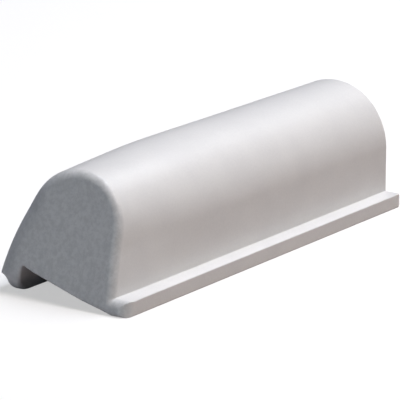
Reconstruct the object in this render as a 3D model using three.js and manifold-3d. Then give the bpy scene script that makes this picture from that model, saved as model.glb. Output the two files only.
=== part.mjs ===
// Dock fender: one vinyl moulding, half round, that guards the edge of a dock or finger pier.
// Millimetres, +Z up. X runs along the fender, from the rounded near end to the square far end.
// Y runs from the flange at the front to the lip at the back. The floor is at Z = 0.
import * as THREE from 'three';
import { mergeVertices } from 'three/addons/utils/BufferGeometryUtils.js';
import Module from 'manifold-3d';

const wasm = await Module();
wasm.setup();

// Driving dimensions of the section, measured from the foot of the front wall
const fenderLength = 457;
const archRadius = 63;
const archCentreHeight = 59;
const backWallTopLean = 24;
const backWallFootLean = 4.2;
const backFootHeight = 16;
const seatDepth = 101.3;
const seatRise = 28.5;
const lipThickness = 20;
const ledgeHeight = 13;

// Flange along the foot of the front wall
const flangeWidth = 17.2;
const flangeThickness = 14.2;
const flangeCornerRadius = 8;
const flangeEndRadius = 7;
const flangeEdgeRadius = 1.6;
const flangeRoot = 20;

// Ends and edges
const endWallDraft = 19.8;
const endRoundRadius = 8.5;
const backRoundRadius = 25;
const backRoundArch = 90;
const nearTaper = 5;
const taperLength = 110;
const farEdgeRadius = 2.5;
const lipNoseRadius = 13;
const lipHeelRadius = 3;
const lipCornerRadius = 33;

// Facets
const archSegments = 40;
const roundSegments = 8;
const smallSegments = 4;
const weldDistance = 1e-4;

const vinyl = new THREE.MeshStandardMaterial({ color: 0xe3e2e4, roughness: 0.42, metalness: 0 });

// Spare material that a cutter reaches past the surface it cuts
const overshoot = 40;

const seatSlope = Math.atan2(seatRise, seatDepth);
const topLean = THREE.MathUtils.degToRad(backWallTopLean);
const footLean = THREE.MathUtils.degToRad(backWallFootLean);
const draftAngle = THREE.MathUtils.degToRad(endWallDraft);

// A section is drawn in Y and Z and runs along X
const alongX = new THREE.Matrix4().makeBasis(
  new THREE.Vector3(0, 1, 0),
  new THREE.Vector3(0, 0, 1),
  new THREE.Vector3(1, 0, 0),
);

// An elevation is drawn in X and Z and runs along -Y
const alongMinusY = new THREE.Matrix4().makeBasis(
  new THREE.Vector3(1, 0, 0),
  new THREE.Vector3(0, 0, 1),
  new THREE.Vector3(0, -1, 0),
);

function toSolid(geometry) {
  geometry.deleteAttribute('normal');
  geometry.deleteAttribute('uv');
  const merged = mergeVertices(geometry, weldDistance);
  return new wasm.Manifold(new wasm.Mesh({
    numProp: 3,
    vertProperties: new Float32Array(merged.attributes.position.array),
    triVerts: new Uint32Array(merged.index.array),
  }));
}

function toGeometry(solid) {
  const mesh = solid.getMesh();
  const geometry = new THREE.BufferGeometry();
  geometry.setAttribute('position', new THREE.BufferAttribute(mesh.vertProperties, 3));
  geometry.setIndex(new THREE.BufferAttribute(mesh.triVerts, 1));
  geometry.computeVertexNormals();
  return geometry;
}

// An extruded shape whose end edges are rounded inwards by the given radius
function roundedExtrusion(shape, start, end, radius, segments, curveSegments = archSegments, inset = 0) {
  const geometry = new THREE.ExtrudeGeometry(shape, {
    depth: end - start - 2 * radius,
    curveSegments,
    bevelEnabled: true,
    bevelThickness: radius,
    bevelSize: radius,
    bevelOffset: -radius - inset,
    bevelSegments: segments,
  });
  geometry.translate(0, 0, start + radius);
  return geometry;
}

// Front wall, arch and bowed back wall, with both walls carried on straight below the floor.
// A wider arch keeps the back wall and touches the barrel where that wall meets its arch.
function archShape(radius = archRadius) {
  const archTop = archCentreHeight + archRadius * Math.sin(topLean);
  const bowRadius = (archTop - backFootHeight) / (Math.sin(topLean) - Math.sin(footLean));
  const bowCentreY = archRadius + (archRadius - bowRadius) * Math.cos(topLean);
  const bowCentreZ = archTop - bowRadius * Math.sin(topLean);
  const backFoot = bowCentreY + bowRadius * Math.cos(footLean);
  const centreY = archRadius - (radius - archRadius) * Math.cos(topLean);
  const centreZ = archCentreHeight - (radius - archRadius) * Math.sin(topLean);
  const shape = new THREE.Shape();
  shape.moveTo(centreY - radius, -overshoot);
  shape.lineTo(backFoot + (backFootHeight + overshoot) * Math.tan(footLean), -overshoot);
  shape.absarc(bowCentreY, bowCentreZ, bowRadius, footLean, topLean, false);
  shape.absarc(centreY, centreZ, radius, topLean, Math.PI, false);
  return shape;
}

// The near end wall leans in with height above the seat, so X grows with that height
function leanEndWall(geometry) {
  const lean = new THREE.Matrix4();
  const perHeight = Math.tan(draftAngle);
  lean.elements[8] = perHeight * Math.cos(seatSlope);
  lean.elements[4] = -perHeight * Math.sin(seatSlope);
  geometry.applyMatrix4(lean);
  return geometry;
}

// The barrel behind the end round, swelling from the near taper to its full section
function taperedBarrel() {
  const share = 1 - endRoundRadius / taperLength;
  const barrel = new THREE.ExtrudeGeometry(archShape(), {
    depth: fenderLength + overshoot,
    curveSegments: archSegments,
    bevelEnabled: true,
    bevelThickness: taperLength - endRoundRadius,
    bevelSize: nearTaper * share,
    bevelOffset: -nearTaper * share,
    bevelSegments: 1,
  });
  barrel.translate(0, 0, taperLength);
  return barrel;
}

// The slim nose of the barrel, with the end round
function barrelNose() {
  const inset = nearTaper * (1 - endRoundRadius / taperLength);
  const end = taperLength / 2;
  return roundedExtrusion(archShape(), 0, end, endRoundRadius, roundSegments, archSegments, inset);
}

function archBody() {
  const barEnd = fenderLength + 2 * overshoot;
  const backRound = roundedExtrusion(archShape(backRoundArch), 0, barEnd, backRoundRadius, roundSegments);
  const near = [taperedBarrel(), barrelNose(), backRound].map(
    (geometry) => toSolid(leanEndWall(geometry.applyMatrix4(alongX))));
  const far = roundedExtrusion(archShape(), -2 * overshoot, fenderLength, farEdgeRadius, smallSegments);
  const [barrel, nose, back] = near;
  return barrel.add(nose).intersect(back).intersect(toSolid(far.applyMatrix4(alongX)));
}

// Space below the fender: the sloping seat, the inner face of the lip, its nose and the ledge
function undersideShape() {
  const across = new THREE.Vector2(Math.cos(seatSlope), Math.sin(seatSlope));
  const down = new THREE.Vector2(Math.sin(seatSlope), -Math.cos(seatSlope));
  const corner = new THREE.Vector2(seatDepth, seatRise);
  const heel = corner.clone().addScaledVector(down, corner.y / -down.y);
  const nose = heel.clone().addScaledVector(across, lipThickness);
  const ledgeInner = nose.clone().addScaledVector(down, (nose.y - ledgeHeight) / -down.y);
  const ledgeOuter = ledgeInner.clone().addScaledVector(across, archRadius);
  const shape = new THREE.Shape();
  shape.moveTo(-overshoot, -overshoot);
  shape.lineTo(ledgeOuter.x, -overshoot);
  shape.lineTo(ledgeOuter.x, ledgeOuter.y);
  shape.lineTo(ledgeInner.x, ledgeInner.y);
  const noseCorner = ledgeInner.x - ledgeInner.y * Math.tan(seatSlope);
  shape.quadraticCurveTo(noseCorner, 0, ledgeInner.x - lipNoseRadius, 0);
  shape.lineTo(heel.x + lipHeelRadius, 0);
  shape.quadraticCurveTo(heel.x, 0, heel.x - down.x * lipHeelRadius, -down.y * lipHeelRadius);
  shape.lineTo(corner.x, corner.y);
  shape.lineTo(0, 0);
  shape.lineTo(-overshoot, 0);
  return shape;
}

function undersideCut() {
  const cut = new THREE.ExtrudeGeometry(undersideShape(), {
    depth: fenderLength + 2 * overshoot,
    curveSegments: roundSegments,
    bevelEnabled: false,
  });
  cut.translate(0, 0, -overshoot);
  cut.applyMatrix4(alongX);
  return toSolid(cut);
}

// Rounds the lip's near bottom corner, seen from the front
function lipCornerCut() {
  const radius = lipCornerRadius;
  const shape = new THREE.Shape();
  shape.moveTo(-overshoot, -overshoot);
  shape.lineTo(radius, -overshoot);
  shape.lineTo(radius, 0);
  shape.absarc(radius, radius, radius, -Math.PI / 2, -Math.PI, true);
  shape.lineTo(-overshoot, radius);
  const depth = archRadius * 2;
  const curveSegments = 2 * roundSegments;
  const cut = new THREE.ExtrudeGeometry(shape, { depth, curveSegments, bevelEnabled: false });
  cut.applyMatrix4(alongMinusY);
  cut.translate(0, seatDepth + depth, 0);
  return toSolid(leanEndWall(cut));
}

// Flange seen from above, rounded at its near front corner and run into the barrel behind
function flangeShape() {
  const radius = flangeCornerRadius;
  const shape = new THREE.Shape();
  shape.moveTo(0, flangeRoot);
  shape.lineTo(0, radius - flangeWidth);
  shape.absarc(radius, radius - flangeWidth, radius, Math.PI, Math.PI + Math.PI / 2, false);
  shape.lineTo(fenderLength + overshoot, -flangeWidth);
  shape.lineTo(fenderLength + overshoot, flangeRoot);
  return shape;
}

// Flange seen from the front, with its near top corner rolled over
function flangeProfile() {
  const radius = flangeEndRadius;
  const shape = new THREE.Shape();
  shape.moveTo(0, -overshoot);
  shape.lineTo(fenderLength + overshoot, -overshoot);
  shape.lineTo(fenderLength + overshoot, flangeThickness);
  shape.lineTo(radius, flangeThickness);
  shape.absarc(radius, flangeThickness - radius, radius, Math.PI / 2, Math.PI, false);
  return shape;
}

// Everything up to the square far end
function farLimit() {
  const limit = new THREE.BoxGeometry(fenderLength + overshoot, 2 * fenderLength, 2 * fenderLength);
  limit.translate((fenderLength - overshoot) / 2, 0, 0);
  return toSolid(limit);
}

function flange() {
  const plan = roundedExtrusion(
    flangeShape(), -flangeEdgeRadius, flangeThickness, flangeEdgeRadius, smallSegments, roundSegments);
  const depth = flangeWidth + archRadius;
  const profile = new THREE.ExtrudeGeometry(
    flangeProfile(), { depth, curveSegments: roundSegments, bevelEnabled: false });
  profile.applyMatrix4(alongMinusY);
  profile.translate(0, archRadius, 0);
  return toSolid(leanEndWall(plan)).intersect(toSolid(leanEndWall(profile))).intersect(farLimit());
}

function fenderBody() {
  const body = archBody().subtract(undersideCut()).subtract(lipCornerCut());
  const front = flange().subtract(undersideCut());
  return body.add(front);
}

const geometry = toGeometry(fenderBody());
geometry.computeBoundingBox();
const box = geometry.boundingBox;
geometry.translate(-(box.min.x + box.max.x) / 2, -(box.min.y + box.max.y) / 2, -box.min.z);

const body = new THREE.Mesh(geometry, vinyl);
body.name = 'fender_body';

const fender = new THREE.Group();
fender.add(body);

export default fender;
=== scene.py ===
import math

import bpy
import numpy as np
from mathutils import Euler, Matrix, Vector


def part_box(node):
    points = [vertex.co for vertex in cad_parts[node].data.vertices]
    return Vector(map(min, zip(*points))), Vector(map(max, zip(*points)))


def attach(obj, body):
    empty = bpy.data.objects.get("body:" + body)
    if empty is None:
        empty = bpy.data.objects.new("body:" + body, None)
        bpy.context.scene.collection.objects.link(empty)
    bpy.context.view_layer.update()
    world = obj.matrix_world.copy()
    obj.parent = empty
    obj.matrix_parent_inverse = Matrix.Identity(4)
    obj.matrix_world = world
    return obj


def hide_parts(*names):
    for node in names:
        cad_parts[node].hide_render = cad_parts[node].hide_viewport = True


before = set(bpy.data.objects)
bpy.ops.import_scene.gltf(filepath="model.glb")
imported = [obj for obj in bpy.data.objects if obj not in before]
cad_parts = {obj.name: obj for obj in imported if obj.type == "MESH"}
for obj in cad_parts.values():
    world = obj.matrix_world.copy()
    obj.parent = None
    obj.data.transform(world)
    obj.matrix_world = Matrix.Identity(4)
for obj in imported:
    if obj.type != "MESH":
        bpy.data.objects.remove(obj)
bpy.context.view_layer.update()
mm = 0.001

# in millimetres and radians: x from the near end, y from the foot of the front wall, z from the floor
fender = {
    "length": 457.0,
    "archRadius": 63.0,
    "archHeight": 59.0,
    "topLean": math.radians(24.0),    # of the bowed back wall, at its top and at its foot
    "footLean": math.radians(4.2),
    "backFoot": 16.0,
    "seatDepth": 101.3,
    "seatRise": 28.5,
    "lipThickness": 20.0,
    "ledgeHeight": 13.0,
    "noseRadius": 13.0,
    "heelRadius": 3.0,
    "lipCorner": 33.0,
    "lipFront": 60.0,                 # the lip is left out of the underside in front of this
    "lipBlend": (80.0, 100.0),        # the lip's rounds grow to full size between these
    "flangeWidth": 17.2,
    "flangeThickness": 14.2,
    "flangeEdge": 1.0,
    "flangeEdgeAtEnd": 3.0,
    "flangeEdgeReach": 15.0,          # from the near end
    "flangeFillet": 0.8,
    "flangeNearCorner": 11.0,         # seen from above
    "flangeFarCorner": 4.0,
    "endDraft": math.radians(19.8),
    "footRound": 5.0,                 # under the near end, fading out between the front wall and footReach
    "footReach": 45.0,
    "farEdge": 2.5,
    "softEdge": 1.0,
    "innerFillet": 1.5,
    "sharp": 0.01,                    # radius of a corner that has no round
    # end round and near taper, each at angles round the arch in degrees:
    # 180 is the front wall, 90 the crown, 25 the back wall's top
    "roundAngles": (-40, 25, 60, 90, 135, 180, 230),
    "endRound": (25.7, 25.6, 11.5, 6.2, 5.5, 8.0, 7.0),
    "taperAngles": (-40, 25, 60, 85, 120, 150, 180, 198, 215, 230),
    "nearTaper": (3.8, 7.4, 6.4, 4.7, 3.0, 3.6, 6.4, 3.0, 0.6, 0.0),
    "angleBlur": 8,
    "taperLength": 110.0,
    "taperBlend": 0.02,               # softens the taper's far end
    # slow waves of the moulding, which fade in above the flange
    "ripple": 0.1,
    "rippleRise": (16.0, 40.0),
    "rippleAlong": 31.0,
    "rippleAcross": 27.0,
    "rippleUp": 23.0,
    "rippleDrift": 83.0,
    "rippleBend": 1.3,
}

lowCorner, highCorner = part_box("fender_body")
origin = np.array([
    highCorner.x / mm - fender["length"],
    lowCorner.y / mm + fender["flangeWidth"],
    lowCorner.z / mm,
])

seatSlope = math.atan2(fender["seatRise"], fender["seatDepth"])


def roundedJoin(a, b, radius):    # what is inside both, with a rounded edge
    across = np.maximum(radius + a, 0)
    along = np.maximum(radius + b, 0)
    return np.minimum(-radius, np.maximum(a, b)) + np.hypot(across, along)


def filletedUnion(a, b, radius):    # what is inside either, with a filleted corner
    across = np.maximum(radius - a, 0)
    along = np.maximum(radius - b, 0)
    return np.maximum(radius, np.minimum(a, b)) - np.hypot(across, along)


def easeBetween(low, high, value):
    share = np.clip((value - low) / (high - low), 0, 1)
    return share * share * (3 - 2 * share)


def aboveSeat(y, z):    # height square to the seat's slope
    return z * math.cos(seatSlope) - y * math.sin(seatSlope)


def depthBehindEnd(x, y, z):    # the near end wall leans in with height above the seat
    return x - math.tan(fender["endDraft"]) * aboveSeat(y, z)


def barrelSection(y, z):    # front wall, arch and bowed back wall; negative inside
    radius, height = fender["archRadius"], fender["archHeight"]
    top, foot = fender["topLean"], fender["footLean"]
    bowTop = height + radius * math.sin(top)
    bow = (bowTop - fender["backFoot"]) / (math.sin(top) - math.sin(foot))
    bowY = radius + (radius - bow) * math.cos(top)
    bowZ = bowTop - bow * math.sin(top)
    arch = np.hypot(y - radius, z - height) - radius
    bowed = np.hypot(y - bowY, z - bowZ) - bow
    straight = (y - bowY) * math.cos(foot) + (z - bowZ) * math.sin(foot) - bow
    back = np.where(np.arctan2(z - bowZ, y - bowY) > foot, bowed, straight)
    onArch = (np.arctan2(z - height, y - radius) > top) & (z > height)
    return np.where(onArch, arch, np.maximum(-y, back))


def underside(depth, y, z):    # seat, lip and ledge; negative where the body may be
    along = y * math.cos(seatSlope) + z * math.sin(seatSlope)
    above = aboveSeat(y, z)
    innerFace = fender["seatDepth"] * math.cos(seatSlope) + fender["seatRise"] * math.sin(seatSlope)
    outerFace = innerFace + fender["lipThickness"]
    ledge = (fender["ledgeHeight"] - outerFace * math.sin(seatSlope)) / math.cos(seatSlope)
    seatSpace = roundedJoin(above, along - innerFace, fender["innerFillet"])
    ledgeSpace = roundedJoin(above - ledge, outerFace - along, fender["innerFillet"])
    atLip = easeBetween(*fender["lipBlend"], y)
    lowerFace = roundedJoin(-z, -depth, fender["sharp"] + fender["lipCorner"] * atLip)
    lowerFace = np.where(atLip > 0, lowerFace, -z)
    lip = roundedJoin(-ledgeSpace, lowerFace, fender["noseRadius"])
    lip = np.where(y > fender["lipFront"], lip, -z)
    return roundedJoin(-seatSpace, lip, fender["sharp"] + fender["heelRadius"] * atLip)


firstDegree, lastDegree = -90, 270
degreesAround = np.arange(firstDegree, lastDegree + 1)


# one value for each degree round the arch, with the corners of its graph smoothed
def aroundTable(angles, values):
    blur = fender["angleBlur"]
    reach = 3 * blur
    degrees = np.arange(firstDegree - reach, lastDegree + 1 + reach)
    weights = np.exp(-0.5 * (np.arange(-reach, reach + 1) / blur) ** 2)
    return np.convolve(np.interp(degrees, angles, values), weights / weights.sum(), "valid")


roundTable = aroundTable(fender["roundAngles"], fender["endRound"])
taperTable = aroundTable(fender["taperAngles"], fender["nearTaper"])


def taperAndRound(depth, y, z):    # both vary round the arch
    around = np.degrees(np.arctan2(z - fender["archHeight"], y - fender["archRadius"]))
    around = np.where(around < firstDegree, around + 360, around)
    ramp = 1 - depth / fender["taperLength"]
    ramp = np.minimum(1, 0.5 * (ramp + np.sqrt(ramp * ramp + fender["taperBlend"])))
    taper = ramp * np.interp(around, degreesAround, taperTable)
    return taper, np.interp(around, degreesAround, roundTable)


def flangeSection(x, depth, y, z):
    atEnd = 1 - easeBetween(0, fender["flangeEdgeReach"], depth)
    edge = fender["flangeEdge"] + (fender["flangeEdgeAtEnd"] - fender["flangeEdge"]) * atEnd
    front = roundedJoin(-fender["flangeWidth"] - y, x - fender["length"], fender["flangeFarCorner"])
    return roundedJoin(front, z - fender["flangeThickness"], edge)


def ripple(x, y, z):    # how far the surface lies below its plain shape
    bend = fender["rippleBend"] * np.sin(z / fender["rippleUp"])
    drift = y / fender["rippleAcross"] + x / fender["rippleDrift"]
    wave = np.sin(x / fender["rippleAlong"] + bend) * np.cos(drift)
    return fender["ripple"] * easeBetween(*fender["rippleRise"], z) * (1 + wave)


def fenderField(points):    # negative inside, and close to the distance from the surface near it
    x, y, z = points[..., 0], points[..., 1], points[..., 2]
    depth = depthBehindEnd(x, y, z)
    taper, endRound = taperAndRound(depth, y, z)
    barrel = barrelSection(y, z) + taper
    section = filletedUnion(barrel, flangeSection(x, depth, y, z), fender["flangeFillet"])
    shell = roundedJoin(section, -depth, endRound)
    shell = roundedJoin(shell, x - fender["length"], fender["farEdge"])
    below = underside(depth, y, z)
    body = roundedJoin(shell, below, fender["softEdge"])
    atFoot = 1 - easeBetween(0, fender["footReach"], y)
    foot = roundedJoin(below, -depth, fender["sharp"] + fender["footRound"] * atFoot)
    corner = roundedJoin(-fender["flangeWidth"] - y, -depth, fender["flangeNearCorner"])
    body = np.maximum(body, np.maximum(foot, corner))
    return body + ripple(x, y, z)


def fieldSlopes(points, reach=0.02):
    slopes = []
    for axis in range(3):
        step = np.zeros(3)
        step[axis] = reach
        slopes.append((fenderField(points + step) - fenderField(points - step)) / (2 * reach))
    return np.stack(slopes, axis=-1)


meshing = {
    # from, to and step of the grid, in millimetres
    "xStops": [(-6, 44, 1.2), (44, 150, 4.0), (150, 440, 10.0), (440, 452, 3.0), (452, 459, 0.8)],
    "yStops": [(-19, 4, 0.9), (4, 90, 1.5), (90, 143, 1.15)],
    "zStops": [(-1.6, 20, 0.9), (20, 124, 1.4)],
    "settleRounds": 5,
    "settleLimit": 0.5,    # how far a point moves in one round
    "leastSteepness": 0.2,
    "leastMove": 1e-9,
}


def gridLine(stops):
    line = []
    for start, end, step in stops:
        count = max(1, round((end - start) / step))
        line.extend(start + (end - start) * k / count for k in range(count))
    line.append(stops[-1][1])
    return np.array(line)


# where the surface crosses the grid edges along one axis, the four cells round each of these edges,
# and which of them have their cells in a face's order, seen from outside
def crossedEdges(grid, values, axis):
    near = tuple(slice(0, -1) if k == axis else slice(None) for k in range(3))
    far = tuple(slice(1, None) if k == axis else slice(None) for k in range(3))
    crossed = (values[near] < 0) != (values[far] < 0)
    a, b = values[near][crossed], values[far][crossed]
    share = (a / (a - b))[:, None]
    spots = grid[near][crossed] * (1 - share) + grid[far][crossed] * share
    others = [k for k in range(3) if k != axis]
    cells = []
    for first, second in ((-1, -1), (0, -1), (0, 0), (-1, 0)):
        cell = np.argwhere(crossed)
        cell[:, others[0]] += first
        cell[:, others[1]] += second
        cells.append(cell)
    inOrder = a >= 0 if axis == 1 else a < 0    # the four cells turn the other way round y
    return spots, cells, inOrder


def settle(points):    # moves the points onto the surface
    for _ in range(meshing["settleRounds"]):
        slopes = fieldSlopes(points)
        steepness = np.maximum((slopes ** 2).sum(-1), meshing["leastSteepness"])[:, None]
        step = fenderField(points)[:, None] * slopes / steepness
        size = np.linalg.norm(step, axis=-1, keepdims=True)
        points -= step * np.minimum(1, meshing["settleLimit"] / np.maximum(size, meshing["leastMove"]))
    return points


# one vertex in each cell that the surface crosses, and one face on each edge that it crosses
def surfaceMesh():
    lines = [gridLine(meshing[key]) for key in ("xStops", "yStops", "zStops")]
    grid = np.stack(np.meshgrid(*lines, indexing="ij"), axis=-1)
    values = fenderField(grid)
    cellShape = tuple(len(line) - 1 for line in lines)
    total = np.zeros(cellShape + (3,))
    count = np.zeros(cellShape)
    faces = []
    for axis in range(3):
        spots, cells, inOrder = crossedEdges(grid, values, axis)
        for cell in cells:
            np.add.at(total, tuple(cell.T), spots)
            np.add.at(count, tuple(cell.T), 1)
        quads = np.stack(cells, axis=1)
        quads[~inOrder] = quads[~inOrder][:, ::-1]
        faces.append(quads)
    used = count > 0
    number = np.full(cellShape, -1)
    number[used] = np.arange(used.sum())
    faces = np.concatenate(faces)
    faces = number[faces[..., 0], faces[..., 1], faces[..., 2]]
    points = settle(total[used] / count[used][:, None])
    normals = fieldSlopes(points)
    normals /= np.linalg.norm(normals, axis=-1, keepdims=True)
    return points, faces, normals


def makeFender():
    points, faces, normals = surfaceMesh()
    mesh = bpy.data.meshes.new("fenderShell")
    mesh.from_pydata((points + origin) * mm, [], faces.tolist())
    mesh.shade_smooth()
    mesh.normals_split_custom_set_from_vertices(normals)
    piece = bpy.data.objects.new("fenderShell", mesh)
    bpy.context.scene.collection.objects.link(piece)
    print("fender shell:", len(points), "points,", len(faces), "faces")
    return piece


class Value:    # a shader socket that can be used in plain arithmetic
    def __init__(self, tree, socket):
        self.tree, self.socket = tree, socket

    def calculate(self, operation, *values):
        return self.tree.node("Math", {"operation": operation}, dict(enumerate(values)))

    def __add__(self, other):
        return self.calculate("ADD", self, other)

    def __radd__(self, other):
        return self.calculate("ADD", other, self)

    def __sub__(self, other):
        return self.calculate("SUBTRACT", self, other)

    def __rsub__(self, other):
        return self.calculate("SUBTRACT", other, self)

    def __mul__(self, other):
        return self.calculate("MULTIPLY", self, other)

    def __rmul__(self, other):
        return self.calculate("MULTIPLY", other, self)


# sockets of a Mix node that mixes colours
mixShare, mixFirst, mixSecond, mixResult = 0, 6, 7, 2


class ShaderTree:
    def __init__(self, name):
        self.material = bpy.data.materials.new(name)
        self.material.use_nodes = True
        self.tree = self.material.node_tree
        self.tree.nodes.clear()

    def node(self, kind, settings=None, inputs=None, output=0):
        made = self.tree.nodes.new("ShaderNode" + kind)
        for key, setting in (settings or {}).items():
            setattr(made, key, setting)
        for key, value in (inputs or {}).items():
            if isinstance(value, Value):
                self.tree.links.new(value.socket, made.inputs[key])
            else:
                made.inputs[key].default_value = value
        return Value(self, made.outputs[output]) if made.outputs else None

    def blendColours(self, share, first, second):
        inputs = {mixShare: share, mixFirst: first, mixSecond: second}
        return self.node("Mix", {"data_type": "RGBA", "blend_type": "MIX"}, inputs, mixResult)

    def noise(self, place, size, detail, roughness):
        inputs = {"Vector": place, "Scale": 1 / size, "Detail": detail, "Roughness": roughness}
        return self.node("TexNoise", None, inputs)

    def between(self, value, low, high):
        inputs = {"Value": value, "From Min": low, "From Max": high}
        return self.node("MapRange", {"interpolation_type": "SMOOTHSTEP"}, inputs)


vinyl = {
    "paleColour": (0.80, 0.80, 0.80, 1),
    "dullColour": (0.755, 0.755, 0.76, 1),
    "dullBetween": (0.3, 0.7),
    "roughness": 0.38,
    "refraction": 1.46,
    # size in metres, detail and roughness of each noise
    "mottle": (0.045, 3.0, 0.5),
    "grain": (0.0022, 2.0, 0.6),
    "fineGrain": (0.0009, 1.0, 0.5),
    "endGrain": (0.005, 4.0, 0.65),
    "noiseMiddle": 0.5,
    # how much of each noise goes into the colour, the roughness and the bump
    "mottleInColour": 0.6,
    "grainInColour": 0.4,
    "mottleInRoughness": 0.04,
    "grainInRoughness": 0.06,
    "grainInBump": 0.7,
    "fineInBump": 0.3,
    "bumpStrength": 0.35,
    "grainHeight": 0.00006,
    # the near end wall has a coarser grain than the barrel, which fades out over these depths in metres
    "endGrainFade": (0.008, 0.002),
    "endGrainBetween": (0.35, 0.65),
    "endGrainShade": 0.16,
    "endGrainColour": (0.2, 0.2, 0.2, 1),
}


def vinylMaterial():
    shader = ShaderTree("satinVinyl")
    place = shader.node("TexCoord", output="Object")
    mottle = shader.noise(place, *vinyl["mottle"])
    grain = shader.noise(place, *vinyl["grain"])
    fine = shader.noise(place, *vinyl["fineGrain"])
    dull = mottle * vinyl["mottleInColour"] + grain * vinyl["grainInColour"]
    dull = shader.between(dull, *vinyl["dullBetween"])
    colour = shader.blendColours(dull, vinyl["paleColour"], vinyl["dullColour"])
    x, y, z = (shader.node("SeparateXYZ", None, {"Vector": place}, axis) - float(origin[axis]) * mm
               for axis in range(3))
    endWall = shader.between(depthBehindEnd(x, y, z), *vinyl["endGrainFade"])
    endGrain = shader.between(shader.noise(place, *vinyl["endGrain"]), *vinyl["endGrainBetween"])
    endShade = endWall * endGrain * vinyl["endGrainShade"]
    colour = shader.blendColours(endShade, colour, vinyl["endGrainColour"])
    roughness = vinyl["roughness"] + vinyl["mottleInRoughness"] * mottle
    roughness = roughness + vinyl["grainInRoughness"] * (grain - vinyl["noiseMiddle"])
    bump = shader.node("Bump", None, {
        "Strength": vinyl["bumpStrength"],
        "Distance": vinyl["grainHeight"],
        "Height": grain * vinyl["grainInBump"] + fine * vinyl["fineInBump"],
    })
    surface = shader.node("BsdfPrincipled", None, {
        "Base Color": colour,
        "Roughness": roughness,
        "IOR": vinyl["refraction"],
        "Normal": bump,
    })
    shader.node("OutputMaterial", None, {"Surface": surface})
    return shader.material


studio = {
    "floorColour": (0.45, 0.45, 0.45, 1),
    "floorGlow": 0.55,
    "glowColour": (1, 1, 1, 1),
    "bounceColour": (0.48, 0.43, 0.42, 1),
    "floorRoughness": 0.9,
    "floorSize": 240.0,
    "floorGap": 0.0005,
    "worldColour": (0.75, 0.85, 1.0, 1),
    "worldStrength": 0.01,
    "gamma": 0.85,
    # name: compass angle from +X, height angle, distance, size, watts, colour
    "lamps": {
        "overheadLamp": (-30, 75, 5.0, 3.0, 98.0, (0.79, 0.82, 1.0)),
        "frontLamp": (-80, 60, 5.0, 3.0, 115.0, (1.0, 0.90, 0.76)),
        "sideLamp": (-10, 60, 5.0, 3.0, 126.0, (0.93, 0.97, 1.0)),
        "endLamp": (180, 8, 5.0, 3.0, 46.0, (0.58, 0.82, 1.0)),
    },
}


def makeFloor(name, colour, glow, seen):    # a seen floor is for the camera alone, another for light alone
    half = studio["floorSize"] / 2
    corners = [(-half, -half, 0), (half, -half, 0), (half, half, 0), (-half, half, 0)]
    mesh = bpy.data.meshes.new(name)
    mesh.from_pydata(corners, [], [(0, 1, 2, 3)])
    floor = bpy.data.objects.new(name, mesh)
    bpy.context.scene.collection.objects.link(floor)
    shader = ShaderTree(name + "Paper")
    surface = shader.node("BsdfPrincipled", None, {
        "Base Color": colour,
        "Roughness": studio["floorRoughness"],
        "Emission Color": studio["glowColour"],
        "Emission Strength": glow,
    })
    shader.node("OutputMaterial", None, {"Surface": surface})
    mesh.materials.append(shader.material)
    floor.visible_camera = seen
    floor.visible_diffuse = not seen
    floor.visible_glossy = not seen
    floor.visible_shadow = not seen
    floor.location.z = 0 if seen else -studio["floorGap"]


def makeLamps():
    for name, (compass, height, distance, size, watts, colour) in studio["lamps"].items():
        turned = Euler((0, -math.radians(height), math.radians(compass)))
        towards = turned.to_matrix() @ Vector((1, 0, 0))
        light = bpy.data.lights.new(name, "AREA")
        light.shape = "DISK"
        light.size = size
        light.energy = watts
        light.color = colour
        lamp = bpy.data.objects.new(name, light)
        lamp.location = towards * distance
        lamp.rotation_euler = (-towards).to_track_quat("-Z", "Y").to_euler()
        bpy.context.scene.collection.objects.link(lamp)


def makeWorld():
    world = bpy.data.worlds.new("studioWorld")
    world.use_nodes = True
    background = world.node_tree.nodes["Background"]
    background.inputs["Color"].default_value = studio["worldColour"]
    background.inputs["Strength"].default_value = studio["worldStrength"]
    bpy.context.scene.world = world


view = {
    "turn": 0.6371,         # radians from +X towards +Y
    "down": 0.2775,         # radians below the level
    "distance": 2664.0,     # millimetres to the aim
    "aim": (228.5, 65.0, 50.0),
    "slide": (-2.211, -4.512),
    "focalPixels": 2756.0,
    "framePixels": 400.0,
    "sensor": 36.0,
    "clipEnd": 60,          # metres
}


def makeCamera():
    turn, down = view["turn"], view["down"]
    right = Vector((math.sin(turn), -math.cos(turn), 0))
    level = math.cos(down)
    forward = Vector((level * math.cos(turn), level * math.sin(turn), -math.sin(down)))
    up = right.cross(forward)
    aim = Vector(view["aim"]) + Vector(origin)
    across, upwards = view["slide"]
    place = (aim - forward * view["distance"] + right * across + up * upwards) * mm
    data = bpy.data.cameras.new("photoCamera")
    data.sensor_width = view["sensor"]
    data.lens = view["focalPixels"] * view["sensor"] / view["framePixels"]
    data.clip_end = view["clipEnd"]
    camera = bpy.data.objects.new("photoCamera", data)
    axes = Matrix((right, up, -forward)).transposed()
    camera.matrix_world = Matrix.Translation(place) @ axes.to_4x4()
    bpy.context.scene.collection.objects.link(camera)
    bpy.context.scene.camera = camera
    print("camera at", [round(v, 4) for v in place])


makeCamera()
# the pale floor is what the camera sees, and a darker one below it sends less light back up
makeFloor("studioFloor", studio["floorColour"], studio["floorGlow"], True)
makeFloor("bounceFloor", studio["bounceColour"], 0, False)
makeLamps()
makeWorld()
bpy.context.scene.view_settings.view_transform = "Standard"
bpy.context.scene.view_settings.gamma = studio["gamma"]
print("studio ready")

shell = makeFender()
shell.data.materials.append(vinylMaterial())
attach(shell, "root")
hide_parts("fender_body")
print("vinyl ready")
